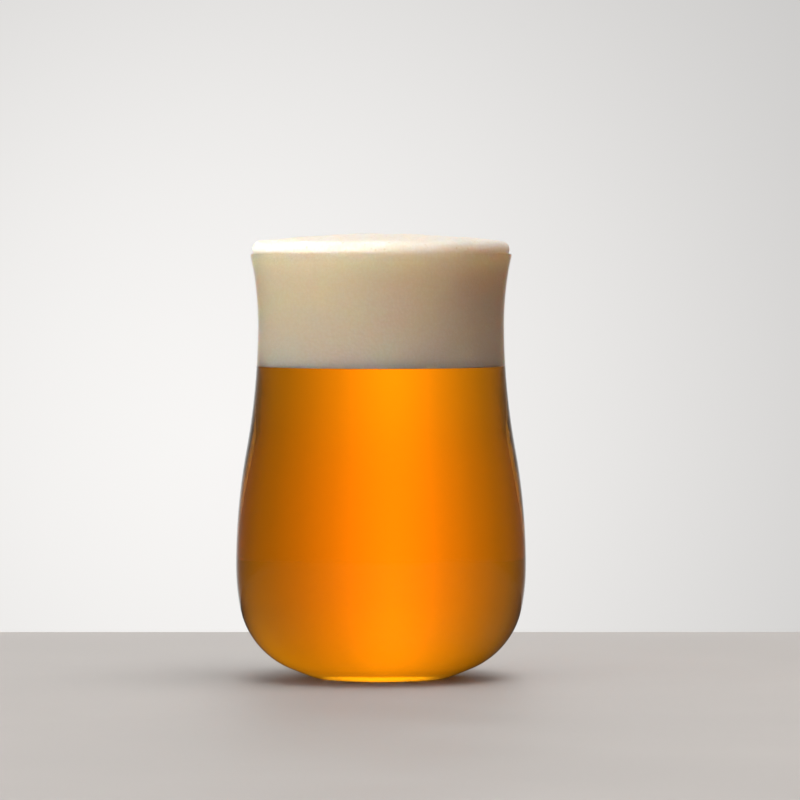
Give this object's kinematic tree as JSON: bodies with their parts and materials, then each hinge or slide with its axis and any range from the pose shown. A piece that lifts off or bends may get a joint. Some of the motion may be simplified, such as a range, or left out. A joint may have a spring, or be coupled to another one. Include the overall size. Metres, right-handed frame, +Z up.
{
  "type": "tulip beer glass",
  "caption": "Stemless tulip beer glass with a full belly, a drawn-in waist and a flared lip, filled with amber beer under a domed cream foam head.",
  "frame": {"origin": "centre of the foot, on the surface that the glass stands on", "axes": "+Z up along the axis that every piece is turned about; X and Y are level and interchangeable"},
  "size_m": [0.0855, 0.0854, 0.1304],
  "materials": {
    "clear_glass": "polished",
    "amber_beer": "polished",
    "cream_foam": "matte"
  },
  "bodies": {
    "root": {"glass": "clear_glass", "beer": "amber_beer", "foam_head": "cream_foam"}
  },
  "joints": []
}
